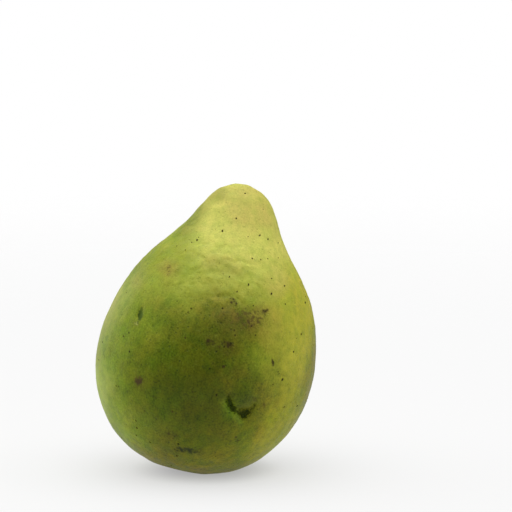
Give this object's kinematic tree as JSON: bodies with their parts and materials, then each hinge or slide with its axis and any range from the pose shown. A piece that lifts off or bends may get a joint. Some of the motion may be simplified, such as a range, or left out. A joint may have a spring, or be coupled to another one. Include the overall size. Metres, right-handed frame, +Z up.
{
  "type": "guava",
  "caption": "Whole pear-shaped guava with a bumpy waxy skin, a dried calyx and a corky stem scar, standing on a small flat spot.",
  "frame": {"origin": "on the surface that the fruit stands on, below the middle of its box", "axes": "+Z up, +X to the side that the neck leans to, -Y the front seen in the picture"},
  "size_m": [0.0745, 0.0729, 0.0967],
  "materials": {
    "guava_skin": "waxy satin, yellow-green with olive mottling",
    "dried_calyx": "dry, brittle, matt dark brown",
    "corky_scar": "dry cork, matt brown"
  },
  "bodies": {
    "root": {"fruit": "guava_skin", "calyx": "dried_calyx", "stem_scar": "corky_scar"}
  },
  "joints": []
}
